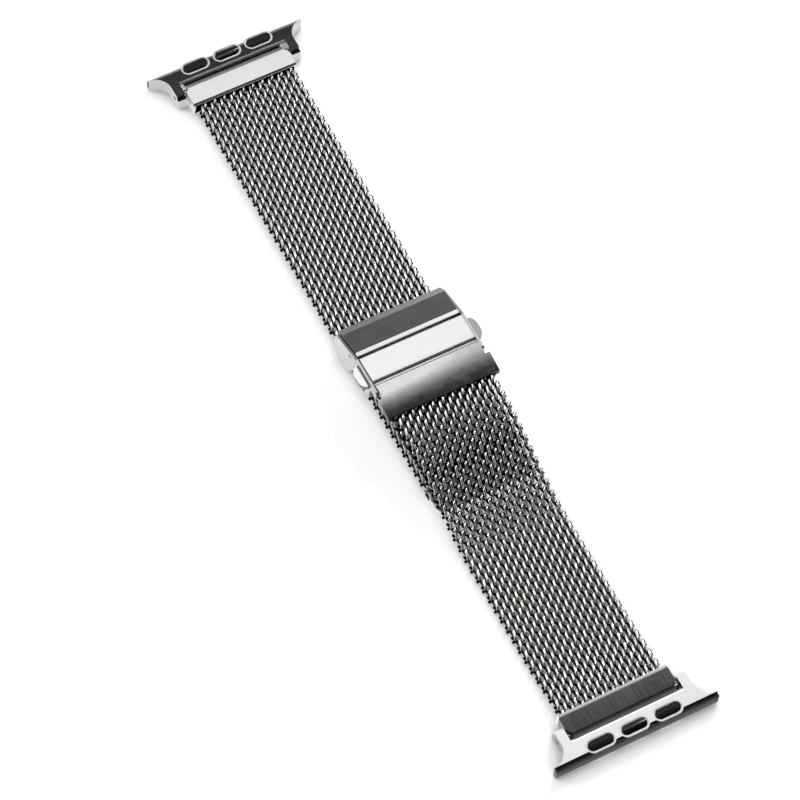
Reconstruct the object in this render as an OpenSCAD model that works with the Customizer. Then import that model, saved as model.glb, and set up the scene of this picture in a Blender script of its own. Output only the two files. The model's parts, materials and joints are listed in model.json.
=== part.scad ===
// Woven steel wrist band: two mesh halves, a folding push-button clasp with a sliding
// lock box, and two slide-in end adapters on spring bars. Millimetres.
// The band lies face up: +X across it, +Y along it towards the adjustable end, +Z up.

/* [Mesh] */
// Width of the mesh over its coils
strap_w = 21; // [18:0.5:24]
// Thickness of the mesh
strap_t = 1.8; // [1.5:0.1:2]
// Distance from one coil of the mesh to the next
row_pitch = 1.13; // [1.07:0.02:1.21]
// How far every other coil stands back at an edge
edge_step = 0.6; // [0.2:0.1:1]
// Coils in the adjustable half, from its tail to its end cap
upper_rows = 86; // [78:1:110]
// Coils in the fixed half, from the clasp to its end cap
lower_rows = 63; // [58:1:80]
// Height of the fixed half's centre where it lies flat
rest_z = 0.95; // [0.95:0.05:1.2]
// Length over which the fixed half comes down from the clasp
drop_len = 30.5; // [29:0.5:36]

/* [Tail] */
// How far the tail reaches past the clasp
tail_len = 18.6; // [14:0.2:18.6]
// Length of the metal tip on the tail
tip_len = 6; // [4:0.5:8]
// Thickness of the tip's tongue
tip_t = 0.9; // [0.6:0.1:1]

/* [End caps] */
// Length of an end cap
cap_len = 5.6; // [5:0.1:7]
// Thickness of an end cap
cap_t = 2.8; // [2.6:0.1:3.2]
// Side wall of an end cap
cap_wall = 0.6; // [0.5:0.1:0.8]
// How far the mesh goes into an end cap
cap_grip = 2.2; // [1.4:0.1:2.4]

/* [Adapters] */
// Length of an adapter from wing tip to wing tip
lug_w = 33; // [30:0.5:36]
// Thickness of an adapter
lug_t = 3.4; // [3.4:0.1:4]
// Depth of an adapter's bar from the pocket to the outer edge
lug_d = 4.4; // [4.2:0.1:5]
// Thickness of an adapter's arm
arm_t = 1.8; // [1.4:0.1:2]
// Length of an adapter's arm beside the end cap
arm_len = 3.2; // [3:0.1:3.8]
// Length of a slot in an adapter
slot_l = 5; // [4.4:0.1:5.4]
// Width of a slot in an adapter
slot_w = 2; // [1.8:0.1:2.2]
// Distance from slot to slot
slot_pitch = 6.8; // [6.6:0.1:7.6]
// Travel of the spring latch
latch_travel = 0.7; // [0.4:0.1:0.8]

/* [Clasp] */
// Height of the clasp above the table
clasp_h = 9.8; // [9.8:0.1:11]
// Thickness of the clasp's side walls
wall_t = 0.5; // [0.45:0.05:0.9]
// Length of the lock flap
flap_len = 5.4; // [5.2:0.1:6]
// Length of the polished cover plate
plate_len = 5.5; // [5.4:0.1:6.2]
// Width of the groove between the cover plate and the end cover
groove_w = 1; // [0.8:0.1:1.4]
// Length of the brushed end cover
end_len = 6.9; // [6.9:0.1:8]
// Length of a push button
button_l = 4.8; // [4.4:0.1:5]
// How far a push button stands out
button_out = 1.5; // [1.2:0.1:1.7]
// Thickness of a push button
button_t = 0.95; // [0.8:0.05:1.1]
// Travel of a push button
button_travel = 0.7; // [0.4:0.1:0.8]
// Radius of the hinge pins
pin_r = 0.5; // [0.4:0.05:0.55]

/* [Hidden] */

$fn = 48;
eps = 0.01;

// Clearances
run = 0.05;        // pins and shanks in their holes
seat = 0.03;       // pieces that are pressed or folded together
play = 0.15;       // flat pieces that slide past each other
bend_gap = 0.1;    // round the coil that a bend turns on

// Colours
STEEL = [0.74, 0.74, 0.73];
DARK_STEEL = [0.34, 0.34, 0.35];
BRIGHT = [0.88, 0.88, 0.87];
RUBBER = [0.05, 0.05, 0.06];

// Heights
run_z = lug_t / 2;                       // centre of the adjustable half, caps and adapters
mesh_top = run_z + strap_t / 2;
floor_t = run_z - strap_t / 2 - play + 0.05;
bridge_z = mesh_top + 0.3;               // underside of the button frame's bridge
bridge_t = 0.7;
bridge_top = bridge_z + bridge_t;
plate_t = 1;
rail_top = clasp_h - 0.3;
plate_low = clasp_h - plate_t;
end_skin = 0.35;                         // end cover over the mesh at its mouth
mouth_top = clasp_h - 0.87;              // underside of the end cover over the mesh
exit_z = mouth_top - seat - strap_t / 2;

// Places along the clasp: zero is the front edge of the end cover
plate_y0 = groove_w;
plate_y1 = plate_y0 + plate_len;
flap_y0 = plate_y1 + 1.5;
flap_y1 = flap_y0 + flap_len;
rail_y0 = -1.55;
rail_y1 = plate_y1 + 0.4;
ear_y0 = -2.85;                          // the end cover's ears begin here
half_w = strap_w / 2;
in_w = half_w + play + 0.1;              // inner face of the side walls
out_w = in_w + wall_t;
plate_w = in_w - play;                   // half width of what lies between the walls

// Pins and their places, as [y, z]
flap_axis = [flap_y1 - 0.2, bridge_top + 2.6];
arm_axis = [-5, bridge_top + 1.1];
cover_axis = [plate_y1 - 1.3, bridge_top + 2.2];
knuckle_r = pin_r + 0.5;
lug_x0 = in_w - 1.75;                    // the frame's lugs for the arm pin
lug_x1 = lug_x0 + 0.6;

// Buttons
button_y = 3.5;
hook_h = 1.4;                            // how far the cover's hooks hang below its plate
shank_r = 0.8;
button_z = plate_low - hook_h - 2 * play - shank_r;
button_top = plate_low - play;
button_low = button_top - button_t;
leg_x = in_w - 0.1;                      // outer face of the legs that keep a button in
leg_t = 0.45;
leg_reach = button_l / 2 + 0.35;         // how far the legs reach along the band
leg_gap = 1.3;                           // half the space between the legs
catch_l = 2.2;                           // length of a catch plate along the band
catch_x = in_w - 1.6;                    // outer face of a button's catch plate
catch_t = 0.6;
post_t = 0.7;
spring_room = button_travel + 1.1;       // from a catch plate to its spring post
post_x = catch_x - catch_t - spring_room - post_t;

// Springs
wire_r = 0.1;
spring_r = 0.65;
latch_skin = 0.6;                        // top of the latch over its spring
curl_pitch = 0.66;
bar_pitch = 1.7;                         // curl pitch of the spring bars' springs
curl_steps = 8;
wire_sides = 6;

// Adapters
pocket_w = strap_w + 2 * cap_wall + 0.6;
cap_w = strap_w + 2 * cap_wall;
slot_y = 2.5;
bar_r = 0.75;                            // spring bar tube
bar_bore = 0.5;
tip_r = 0.4;
tip_depth = 2.4;                         // how deep a bar tip sits in the tube
latch_plate_t = 0.5;
latch_low = latch_plate_t + latch_travel + 0.3;
latch_ledge = 0.45;                      // how far the latch's flange stands out under its slot
flange_l = slot_l - 2 * play + 2 * latch_ledge;
crown_r = 2.4;                           // rounding of the pads' and latch's tops
pad_proud = 0.25;
rim_w = 0.15;                            // recessed rim round each slot
rim_t = 0.12;
boss_w = 0.45;                           // wall of a slot's boss on the outer face
pad_deep = 1.6;
flange_w = 1.3;
flange_t = 0.4;
plate_l = slot_l + 1.8;                  // the plate that closes the latch bore

// Mesh paths: row centres as [y, z]
function smooth(t) = let (u = min(max(t, 0), 1)) u * u * (3 - 2 * u);

tail_end = -end_len - tail_len;
upper_start = tail_end + tip_len - 1;
upper_path = [for (i = [0:upper_rows - 1]) [upper_start + i * row_pitch, run_z]];

lower_start = -2.6;
flat_in = end_len - 1.5;                 // straight stretch held in the clasp
rise_len = 9;
lower_total = (lower_rows - 1) * row_pitch;
function lower_z(s) = exit_z + (rest_z - exit_z) * smooth((s - flat_in) / drop_len)
    + (run_z - rest_z) * smooth((s - (lower_total - cap_grip - 1 - rise_len)) / rise_len);
function walk(i, y) = i >= lower_rows ? [] :
    let (z = lower_z(i * row_pitch), dz = lower_z((i + 1) * row_pitch) - z)
    concat([[y, z]], walk(i + 1, y - sqrt(row_pitch * row_pitch - dz * dz)));
lower_path = walk(0, lower_start);

// Rows that the mesh bends on
upper_bends = [34, 50, 66];
lower_bends = [5, 24, 37, 50];

// Ends of the two halves
upper_mouth = upper_path[upper_rows - 1][0] + strap_t / 2 - cap_grip;
lower_mouth = lower_path[lower_rows - 1][0] - strap_t / 2 + cap_grip;
cap_gap = 0.1;
upper_pocket = upper_mouth + cap_len + cap_gap;
lower_pocket = lower_mouth - cap_len - cap_gap;
mid_y = (upper_pocket + lower_pocket) / 2;

echo(axes_flap = flap_axis - [mid_y, 0], arm = arm_axis - [mid_y, 0], cover = cover_axis - [mid_y, 0]);
echo(upper_bends = [for (i = upper_bends) upper_path[i] - [mid_y, 0]]);
echo(lower_bends = [for (i = lower_bends) lower_path[i] - [mid_y, 0]]);
echo(upper_bar = upper_mouth + cap_len - cap_t / 2 - mid_y);
echo(lower_bar = lower_mouth - cap_len + cap_t / 2 - mid_y);
echo(ends = [upper_pocket + lug_d - mid_y, lower_pocket - lug_d - mid_y], mid_y = mid_y);
echo(spring_gap = curl_pitch - 2 * wire_r);

// Shared shapes

// A side outline in y and z, pushed out along x from x0 to x1
module side_prism(pts, x0, x1) {
    translate([x0, 0, 0]) rotate([90, 0, 90]) linear_extrude(x1 - x0) polygon(pts);
}

// The same shape on the right and mirrored on the left
module both_sides() {
    children();
    mirror([1, 0, 0]) children();
}

// A round bar along x at a place in y and z
module cross_bar(at, r, x0, x1) {
    translate([x0, at[0], at[1]]) rotate([0, 90, 0]) cylinder(h = x1 - x0, r = r);
}

// An outline with its corners rounded: each point is [y, z, radius]
function unit(v) = v / norm(v);
function round_corner(a, b, c, r) = r <= 0 ? [b] :
    let (
        u = unit([a[0] - b[0], a[1] - b[1]]),
        v = unit([c[0] - b[0], c[1] - b[1]]),
        half = acos(u * v) / 2,
        d = r / tan(half),
        m = [b[0], b[1]] + unit(u + v) * r / sin(half),
        p = [b[0], b[1]] + u * d - m,
        q = [b[0], b[1]] + v * d - m,
        a0 = atan2(p[1], p[0]),
        turn = ((atan2(q[1], q[0]) - a0 + 540) % 360) - 180
    )
    [for (i = [0:5]) m + r * [cos(a0 + turn * i / 5), sin(a0 + turn * i / 5)]];
function rounded(pts) = let (n = len(pts))
    [for (i = [0:n - 1]) for (p = round_corner(pts[(i + n - 1) % n], pts[i], pts[(i + 1) % n], pts[i][2]))
        [p[0], p[1]]];

// A slot outline along x
module slot_shape(l, w) {
    square([l - w, w], center = true);
    for (s = [-1, 1]) translate([s * (l - w) / 2, 0]) circle(d = w);
}

// A coil spring along z from z0 to z1, as one tube
module coil_spring(r, z0, z1, pitch = curl_pitch) {
    curls = (z1 - z0 - 2 * wire_r) / pitch;
    steps = floor(curls * curl_steps);
    turn = 360 * curls / steps;
    rings = [for (i = [0:steps]) for (k = [0:wire_sides - 1])
        let (a = i * turn, b = 360 * k / wire_sides, q = r - wire_r + wire_r * cos(b))
        [q * cos(a), q * sin(a), z0 + wire_r + (z1 - z0 - 2 * wire_r) * i / steps + wire_r * sin(b)]];
    skin = [for (i = [0:steps - 1]) for (k = [0:wire_sides - 1])
        let (j = (k + 1) % wire_sides, o = i * wire_sides, n = o + wire_sides)
        each [[o + k, n + k, n + j], [o + k, n + j, o + j]]];
    cap0 = [for (k = [1:wire_sides - 2]) [0, k, k + 1]];
    last = steps * wire_sides;
    cap1 = [for (k = [1:wire_sides - 2]) [last, last + k + 1, last + k]];
    polyhedron(rings, concat(skin, cap0, cap1));
}

// Mesh rows: one flattened coil each, every other one stepped sideways
module mesh_rows(path, first, last) {
    color(STEEL) for (i = [first:last])
        let (step = i % 2 == 0 ? 0 : edge_step)
        cross_bar(path[i], strap_t / 2, -half_w + step, half_w - edge_step + step);
}

// Rows that turn on the row before them
module bent_rows(path, first, last) {
    color(STEEL) difference() {
        mesh_rows(path, first, last);
        cross_bar(path[first - 1], strap_t / 2 + bend_gap, -half_w - 1, half_w + 1);
    }
}

// Clasp base

// Channel section across the band, pushed along y
module box_channel() {
    r = 1.2;
    past = 3;
    outer = rounded([[-out_w, 0, r], [out_w, 0, r], [out_w, clasp_h, 0], [-out_w, clasp_h, 0]]);
    rotate([90, 0, 0]) translate([0, 0, -flap_y1 - past]) linear_extrude(flap_y1 + past) difference() {
        polygon(outer);
        translate([-in_w, floor_t]) square([2 * in_w, clasp_h]);
    }
}

module lock_box() {
    p = flap_axis;
    outline = rounded([
        [rail_y1 + 0.6, button_z - 1.8, 0.4], [flap_y0 + 2.4, 0, 1.2], [p[0] + 0.4, 0, 0.8],
        [p[0] + 1.7, 1.9, 1.5], [p[0] + 2.1, p[1] - 1.8, 1.5], [p[0] + 1.2, p[1] + 0.7, 0.6],
        [rail_y1 + 0.05, rail_top - 0.1, 0.1], [rail_y1 + 0.05, button_z, 0.1]
    ]);
    color(STEEL) difference() {
        intersection() {
            box_channel();
            side_prism(outline, -out_w, out_w);
        }
        cross_bar(p, pin_r, -out_w - 1, out_w + 1);
        for (s = [-1, 1]) {
            cross_bar(rivet_at, rivet_r, s > 0 ? in_w - 1 : -out_w - 1, s > 0 ? out_w + 1 : -in_w + 1);
            cross_bar(detent_at, detent_r, s > 0 ? in_w - 1 : -out_w - 1, s > 0 ? out_w + 1 : -in_w + 1);
        }
    }
}

rivet_r = 0.45;
rivet_at = [flap_y0 + 1.9, button_z - 0.4];
detent_at = [flap_y0 + 0.8, button_z + 1.3];
detent_r = 0.35;

module frame_rivets() {
    color(BRIGHT) for (s = [-1, 1]) {
        x0 = s > 0 ? in_w - wall_t - seat : -out_w - 0.05;
        cross_bar(rivet_at, rivet_r, x0, x0 + 2 * wall_t + 0.05 + seat);
    }
}

// The frame behind the lock box: a bridge over the tail, two walls with rails, and lugs for the arm
module button_frame() {
    end_y = arm_axis[0] - knuckle_r;
    rail_low = rail_top - 1.8;
    foot_top = button_z - shank_r - 4 * play;
    wall_low = foot_top - 0.6;
    wall_y0 = button_y - leg_reach;
    foot_t = 0.5;
    foot_y = wall_y0 + 1.2;
    window = [half_w * 0.76, plate_len * 0.72];
    wall = rounded([
        [rail_y1, wall_low, 0.4], [rail_y1, rail_top, 0.2], [rail_y0, rail_top, 0.5],
        [rail_y0, rail_low, 0.3], [wall_y0, rail_low, 0.3], [wall_y0 + 0.6, wall_low, 0.4]
    ]);
    lug = rounded([
        [end_y, bridge_z, 0], [end_y, arm_axis[1] + knuckle_r, knuckle_r - 0.05],
        [arm_axis[0] + knuckle_r, arm_axis[1] + knuckle_r, knuckle_r - 0.05],
        [arm_axis[0] + knuckle_r, bridge_z, 0]
    ]);
    tongue_h = 2.4;
    tongue_low = rivet_at[1] - tongue_h / 2;
    tongue_y = rail_y1 - 0.45;
    color(STEEL) difference() {
        union() {
            both_sides() side_prism(wall, in_w, out_w);
            both_sides() side_prism(lug, lug_x0, lug_x1);
            both_sides() {
                translate([in_w - wall_t, tongue_y, tongue_low])
                    cube([wall_t - eps, rivet_at[0] + 0.8 - tongue_y, tongue_h]);
                translate([in_w - wall_t, tongue_y, tongue_low])
                    cube([wall_t + 0.2, rail_y1 - tongue_y, tongue_h]);
            }
            // feet that carry the walls on the bridge
            both_sides() translate([in_w - foot_t, foot_y, bridge_z])
                cube([foot_t + 0.05, rail_y1 - foot_y, foot_top - bridge_z]);
            difference() {
                union() {
                    translate([-lug_x1, end_y, bridge_z]) cube([2 * lug_x1, rail_y1 - end_y, bridge_t]);
                    translate([-in_w, foot_y, bridge_z]) cube([2 * in_w, rail_y1 - foot_y, bridge_t]);
                }
                translate([0, plate_y1 / 2 - 1.6, bridge_z - 1]) linear_extrude(bridge_t + 2)
                    slot_shape(window[0], window[1]);
            }
            both_sides() translate([post_x, button_y - 0.6, bridge_top - 0.1])
                cube([post_t, 1.2, button_z - bridge_top + 0.9]);
        }
        cross_bar(arm_axis, pin_r, -out_w - 1, out_w + 1);
        // slots for the buttons
        both_sides() translate([in_w - 0.2, button_y - button_l / 2 - run, button_low - run])
            cube([wall_t + 1, button_l + 2 * run, button_t + 2 * run]);
        cross_bar(rivet_at, rivet_r, -in_w - 0.1, in_w + 0.1);
    }
}

module flap_pin() {
    color(BRIGHT) cross_bar(flap_axis, pin_r, -out_w, out_w);
}

module arm_pin() {
    color(BRIGHT) cross_bar(arm_axis, pin_r, -lug_x1, lug_x1);
}

// Lock flap: its cam presses on the mesh when the flap is shut

lip_l = 0.85;                            // level lip along the front of the sloping flap
lip_drop = 0.05;
lip_t = 1;
hub_r = pin_r + 0.8;
cam_r = 1.5;
cam_drop = flap_axis[1] - mesh_top - run - cam_r;

module lock_flap() {
    p = flap_axis;
    top1 = p[1] + 2.35;
    top0 = rail_top;
    lip_low = top0 - lip_drop - lip_t;
    cam_w = in_w - wall_t - play;
    tooth = 0.36;
    plate = rounded([
        [flap_y0 - lip_l, lip_low, 0.1], [flap_y0 - lip_l, top0 - lip_drop, 0.12], [flap_y0, top0, 0.12],
        [p[0] - 0.2, top1, 0.5], [p[0] + 1.53, p[1] + 1.29, 0.3], [p[0] + 1.2, p[1], 0],
        [p[0] - 1.2, p[1] - 0.2, 0], [p[0] - 1.6, p[1] + 1.0, 0.5], [flap_y0 + 0.4, top0 - 1.0, 0.1],
        [flap_y0 - 0.1, lip_low, 0.1]
    ]);
    color(DARK_STEEL) difference() {
        union() {
            side_prism(plate, -plate_w, plate_w);
            cross_bar(p, hub_r, -plate_w, plate_w);
            cross_bar([p[0], p[1] - cam_drop], cam_r, -cam_w, cam_w);
            translate([-cam_w, p[0] - hub_r, p[1] - cam_drop]) cube([2 * cam_w, 2 * hub_r, cam_drop]);
            // side tabs whose nubs click into the detent holes
            both_sides() {
                translate([plate_w - 0.5, detent_at[0] - 0.6, detent_at[1] - 0.35])
                    cube([0.5, 1.2, rail_top - 0.55 - detent_at[1]]);
                cross_bar(detent_at, detent_r - 0.1, plate_w - 0.3, in_w - 0.02);
            }
        }
        cross_bar(p, pin_r + run, -out_w, out_w);
        // grooves that leave three teeth on the cam
        for (s = [-1, 1]) translate([-out_w, p[0] + s * tooth - tooth / 2, mesh_top])
            cube([2 * out_w, tooth, 0.35]);
    }
}

// Push buttons, drawn on the right and mirrored

// Outline of a button's face from above: a rounded half oval
function button_face(x) = [for (a = [0:12:180])
    [x + button_out * pow(sin(a), 0.8), button_y + button_l / 2 * sign(cos(a)) * pow(abs(cos(a)), 0.8)]];

module button_shape() {
    face = out_w + run;
    neck = 0.7;
    x0 = leg_x - leg_t;
    yoke_low = button_z - shank_r;
    nose_drop = 0.8;
    color(BRIGHT) {
        translate([0, 0, button_low]) linear_extrude(button_t) {
            polygon(button_face(face));
            translate([in_w + 0.25, button_y - button_l / 2]) square([face - in_w - 0.25 + eps, button_l]);
            // necks through the slot, and ends that stop the button inside the wall
            for (s = [-1, 1]) translate([0, button_y + s * leg_gap - (s < 0 ? neck : 0)])
                translate([x0, 0]) square([face - x0, neck]);
            for (s = [-1, 1]) translate([x0, button_y + (s < 0 ? -leg_reach : leg_gap)])
                square([leg_t, leg_reach - leg_gap]);
        }
        // yoke round the cover's hook, with the shank in its middle
        for (s = [-1, 1]) translate([x0, button_y + s * leg_gap - (s < 0 ? neck : 0), yoke_low])
            cube([leg_t, neck, button_top - yoke_low]);
        translate([x0, button_y - leg_gap - neck, yoke_low])
            cube([leg_t, 2 * (leg_gap + neck), 2 * shank_r]);
        cross_bar([button_y, button_z], shank_r, catch_x - 0.1, leg_x - 0.1);
        translate([catch_x - catch_t - 0.1, button_y - catch_l / 2, button_z - 0.9])
            cube([catch_t, catch_l, plate_low - button_z + 0.6]);
        translate([catch_x - 0.2, button_y - catch_l / 2, plate_low - nose_drop]) cube([0.2, catch_l, 0.45]);
    }
}

module button_right() {
    button_shape();
}

module button_left() {
    mirror([1, 0, 0]) button_shape();
}

module button_spring() {
    x0 = post_x + post_t;
    x1 = catch_x - catch_t - 0.1;
    color(STEEL) translate([x0, button_y, button_z]) rotate([0, 90, 0]) coil_spring(spring_r, 0, x1 - x0);
}

module button_spring_right() {
    button_spring();
}

module button_spring_left() {
    mirror([1, 0, 0]) button_spring();
}

// Folding arm and cover

arm_w = post_x - 0.95;                   // half width of the arm's blade
ear_x0 = arm_w + play;
ear_x1 = post_x + 0.3;

module folding_arm() {
    a = arm_axis;
    c = cover_axis;
    z0 = a[1] - knuckle_r;
    window = [arm_w * 1.15, plate_len * 0.55];
    blade = rounded([
        [a[0], z0, 0], [c[0] - 1, z0, 0.8], [c[0] + 0.6, c[1] - 0.7, 0], [c[0] - 0.3, c[1] + 0.6, 0],
        [c[0] - 1.5, z0 + 0.9, 0.6], [a[0], z0 + 0.9, 0]
    ]);
    color(STEEL) difference() {
        union() {
            side_prism(blade, -arm_w, arm_w);
            cross_bar(a, knuckle_r, -lug_x0 + play, lug_x0 - play);
            cross_bar(c, knuckle_r - 0.05, -arm_w, arm_w);
        }
        cross_bar(a, pin_r + run, -out_w, out_w);
        cross_bar(c, pin_r + run, -out_w, out_w);
        translate([0, (a[0] + c[0]) / 2, z0 - 1]) linear_extrude(clasp_h) slot_shape(window[0], window[1]);
    }
}

module cover_pin() {
    color(BRIGHT) cross_bar(cover_axis, pin_r, -ear_x1, ear_x1);
}

module cover_plate() {
    c = cover_axis;
    top = rounded([
        [plate_y0, plate_low, 0], [plate_y1, plate_low, 0.1],
        [plate_y1, clasp_h, 0.2], [plate_y0, clasp_h, 0.2]
    ]);
    fin_y = plate_y0 - groove_w * 0.6;
    color(BRIGHT) difference() {
        union() {
            side_prism(top, -plate_w, plate_w);
            // tongue under the end cover, with the thin fin in the groove
            translate([-plate_w + 0.3, -1.5, plate_low]) cube([2 * plate_w - 0.6, plate_y0 + 1.6, 0.4]);
            translate([-plate_w, fin_y - 0.12, plate_low]) cube([2 * plate_w, 0.25, 0.8]);
            // hinge ears
            both_sides() {
                cross_bar(c, knuckle_r - 0.05, ear_x0, ear_x1);
                translate([ear_x0, c[0] - knuckle_r + 0.05, c[1]])
                    cube([ear_x1 - ear_x0, 2 * knuckle_r - 0.1, plate_low - c[1] + 0.1]);
            }
            // hooks beside the buttons' catch plates
            both_sides() {
                translate([catch_x + 0.5, button_y - 1, plate_low - hook_h]) cube([0.5, 2, hook_h + 0.1]);
                translate([catch_x + 0.08, button_y - 1, plate_low - hook_h]) cube([0.8, 2, 0.5]);
            }
        }
        cross_bar(c, pin_r, -out_w, out_w);
    }
}

anchor_top = exit_z - strap_t / 2 - seat;
anchor_t = 0.55;

module end_cover() {
    y1 = -end_len;
    z1 = mouth_top + end_skin;
    z0 = clasp_h + 0.1;
    ear_low = mouth_top - 1.2;
    ear_w = out_w + 0.25;
    // the top curves down to the mouth on one arc
    drop = z0 - z1;
    r = (end_len * end_len + drop * drop) / (2 * drop);
    steps = concat([for (i = [0:3]) ear_y0 * i / 3], [for (i = [1:5]) ear_y0 + (y1 - ear_y0) * i / 5]);
    arc = [for (y = steps) [y, z0 - r + sqrt(r * r - y * y)]];
    skin = concat(arc, [[y1, mouth_top], [-1.6, mouth_top], [-1.6, plate_low + 0.4], [0, plate_low + 0.4]]);
    skirt = concat(
        [for (p = arc) if (p[0] <= ear_y0 + eps) p],
        rounded([[y1, z1, 0], [y1, ear_low, 0.5], [ear_y0, ear_low, 0.3], [ear_y0, ear_low + 1, 0]])
    );
    // the skirts go on down, set in, to the anchor
    inner = rounded([
        [y1 + 0.4, ear_low + 0.2, 0], [y1 + 0.4, anchor_top - anchor_t, 0.6],
        [ear_y0 - 0.4, anchor_top - anchor_t, 0.4], [ear_y0 - 0.4, ear_low + 0.2, 0]
    ]);
    color(STEEL) {
        side_prism(skin, -plate_w, plate_w);
        difference() {
            union() {
                side_prism(skirt, -ear_w, ear_w);
                side_prism(inner, -in_w - 0.3, in_w + 0.3);
            }
            translate([-in_w, y1 - 1, 0]) cube([2 * in_w, end_len + 2, mouth_top]);
        }
    }
}

module strap_anchor() {
    z0 = anchor_top - anchor_t;
    color(STEEL) difference() {
        union() {
            translate([-in_w + seat, -end_len + 0.3, z0])
                cube([2 * in_w - 2 * seat, end_len - 1.1, anchor_t]);
            translate([-in_w + 0.5, -1.5 + seat, z0]) cube([2 * in_w - 1, 0.6, plate_low - z0 - seat]);
        }
        // room for the arm's barrel
        cross_bar(arm_axis, knuckle_r + play, -in_w - 1, in_w + 1);
    }
}

// Mesh halves

module slider_mesh() {
    mesh_rows(upper_path, 0, upper_bends[0]);
}

module upper_mesh_a() {
    bent_rows(upper_path, upper_bends[0] + 1, upper_bends[1]);
}

module upper_mesh_b() {
    bent_rows(upper_path, upper_bends[1] + 1, upper_bends[2]);
}

module upper_mesh_end() {
    bent_rows(upper_path, upper_bends[2] + 1, upper_rows - 1);
}

module lower_mesh_root() {
    mesh_rows(lower_path, 0, lower_bends[0]);
}

module lower_mesh_a() {
    bent_rows(lower_path, lower_bends[0] + 1, lower_bends[1]);
}

module lower_mesh_b() {
    bent_rows(lower_path, lower_bends[1] + 1, lower_bends[2]);
}

module lower_mesh_c() {
    bent_rows(lower_path, lower_bends[2] + 1, lower_bends[3]);
}

module lower_mesh_end() {
    bent_rows(lower_path, lower_bends[3] + 1, lower_rows - 1);
}

// Metal tip crimped on the tail: a thin jaw over the last coil and a flat tongue
module strap_tip() {
    w = half_w + 0.05;
    tip_corner = 2;
    jaw = 0.12;
    mesh_low = mesh_top - strap_t;
    mouth = strap_t + 2 * seat;
    jaw_y = upper_start - strap_t / 2 - 0.3;
    jaw_l = tail_end + tip_len - jaw_y;
    color(BRIGHT) {
        difference() {
            translate([-w, jaw_y, mesh_low - jaw - seat]) cube([2 * w, jaw_l, mouth + 2 * jaw]);
            translate([-w - 1, jaw_y + 0.25, mesh_low - seat]) cube([2 * w + 2, jaw_l, mouth]);
        }
        translate([0, 0, run_z - tip_t / 2]) linear_extrude(tip_t)
            polygon(rounded([
                [-w, jaw_y + 0.1, 0], [-w, tail_end, tip_corner],
                [w, tail_end, tip_corner], [w, jaw_y + 0.1, 0]
            ]));
    }
}

// End cap: a folded box that grips the mesh, with a round end for the spring bar.
// Drawn with its mouth at y = 0 and its round end towards +y.
module end_cap_shape() {
    r = cap_t / 2;
    w = cap_w / 2;
    corner = 0.7;
    body = concat(
        [[0, -r], [cap_len - r, -r]],
        [for (i = [1:11]) let (a = -90 + 15 * i) [cap_len - r + r * cos(a), r * sin(a)]],
        [[cap_len - r, r], [0.45, r], [0, r - 0.25]]
    );
    color(STEEL) translate([0, 0, run_z]) difference() {
        side_prism(body, -w, w);
        translate([-half_w - seat, -eps, -strap_t / 2 - seat])
            cube([2 * half_w + 2 * seat, cap_grip + seat, strap_t + 2 * seat]);
        cross_bar([cap_len - r, 0], bar_r + run, -w - 1, w + 1);
        // corners cut back beside the arms
        both_sides() translate([0, 0, -r - 1]) linear_extrude(cap_t + 2) polygon([
            [w + 0.1, cap_len - r - 1], [w + 0.1, cap_len + 0.1],
            [w - corner, cap_len + 0.1], [w - corner, cap_len - r]
        ]);
    }
}

module bar_tube_shape() {
    l = cap_w / 2 + 0.1;
    color(BRIGHT) difference() {
        cross_bar([0, run_z], bar_r, -l, l);
        cross_bar([0, run_z], bar_bore, -l - 1, l + 1);
    }
}

// A tip at each end of the spring bar: a thin nose in the arm's hole and a fatter heel in the tube
module bar_tips_shape() {
    x1 = pocket_w / 2 + arm_t - 0.3;
    x0 = cap_w / 2 - tip_depth;
    color(BRIGHT) both_sides() {
        cross_bar([0, run_z], tip_r, x0, x1);
        cross_bar([0, run_z], bar_bore - seat, x0, x0 + tip_depth / 2);
    }
}

module bar_spring_shape() {
    x = cap_w / 2 - tip_depth;
    color(STEEL) translate([-x, 0, run_z]) rotate([0, 90, 0])
        coil_spring(bar_bore - seat, 0, 2 * x, bar_pitch);
}

// Adapter: drawn with the pocket's floor at y = 0 and its outer edge towards +y

module lug_plan() {
    x0 = pocket_w / 2;
    x1 = x0 + arm_t;
    x2 = lug_w / 2;
    tip = 1.2;
    r = x2 - x1;
    y0 = lug_d - tip - r;
    for (s = [-1, 1]) mirror([s < 0 ? 1 : 0, 0])
        polygon(concat(
            [[0, 0], [x0, 0], [x0, -arm_len], [x1, -arm_len]],
            [for (i = [0:10]) let (a = 180 - 9 * i) [x1 + r + r * cos(a), y0 + r * sin(a)]],
            [for (i = [0:5]) let (a = -60 + 30 * i) [x2 - 0.3 + 0.3 * cos(a), lug_d - 0.5 + 0.3 * sin(a)]],
            [[x2 - 0.8, lug_d], [0, lug_d]]
        ));
    translate([-1, 0]) square([2, lug_d]);
}

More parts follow.
